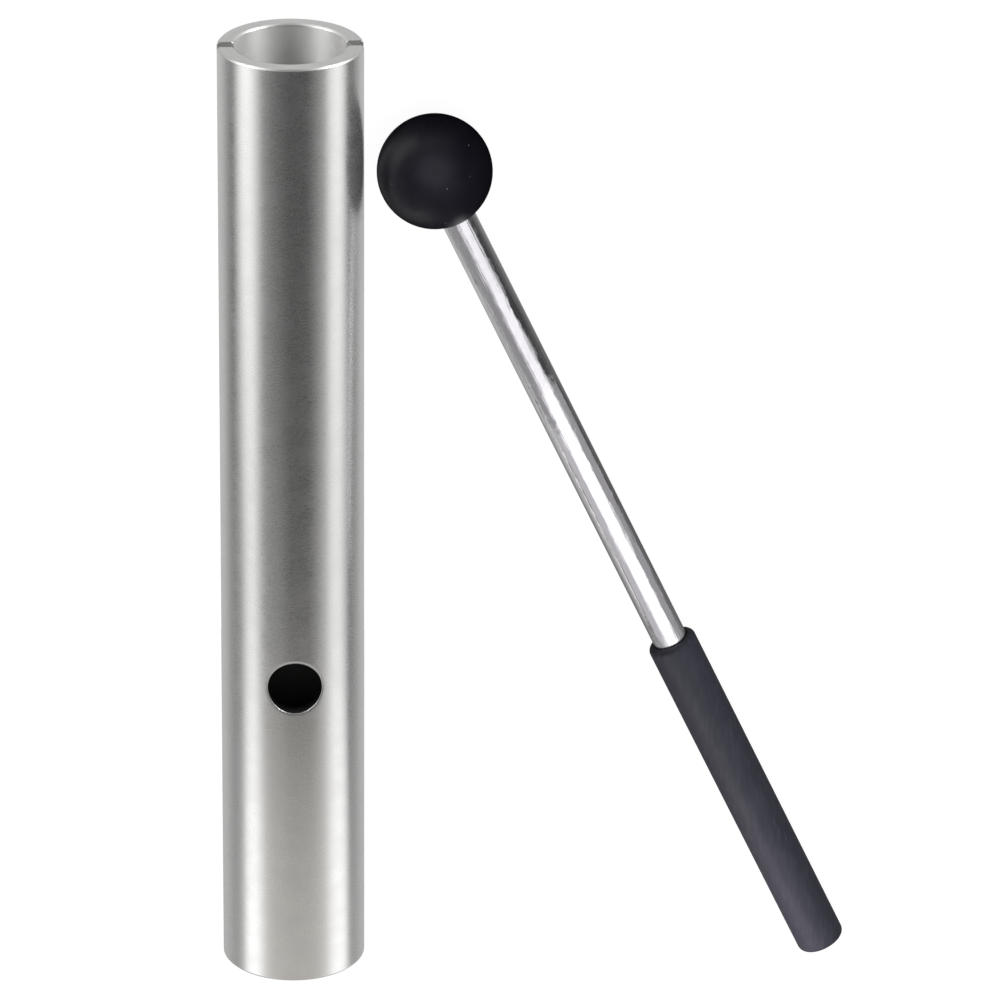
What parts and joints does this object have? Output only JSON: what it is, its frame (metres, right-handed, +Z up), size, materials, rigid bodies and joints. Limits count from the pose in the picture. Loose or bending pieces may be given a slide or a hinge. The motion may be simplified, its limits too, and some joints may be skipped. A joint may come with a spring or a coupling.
{
  "type": "slotted resonator tube with mallet",
  "caption": "Satin metal resonator tube, slotted from its open end, with a thumb hole and a closed end, lying beside its rubber-ball mallet with a soft grip.",
  "frame": {"origin": "centre of the footprint of tube and mallet, on the floor they lie on", "axes": "+Z up with the thumb hole facing +Z; +Y along the tube towards its open end; the mallet lies on the +X side"},
  "size_m": [0.1424, 0.2276, 0.032],
  "materials": {
    "tube_metal": "satin, fine lathe-brushed around the tube",
    "plug_metal": "satin, faced on the lathe",
    "head_rubber": "matte blue-black rubber",
    "shaft_chrome": "bright chrome plating",
    "grip_rubber": "matte dark blue-grey soft sleeve"
  },
  "bodies": {
    "tube": {"resonator_tube": "tube_metal", "end_plug": "plug_metal"},
    "mallet": {"mallet_head": "head_rubber", "mallet_shaft": "shaft_chrome", "mallet_grip": "grip_rubber"}
  },
  "joints": [
    {"name": "mallet_lift", "type": "slide", "parent": "tube", "child": "mallet", "axis": [0, 0, 1], "range_m": [0, 0.12]}
  ]
}
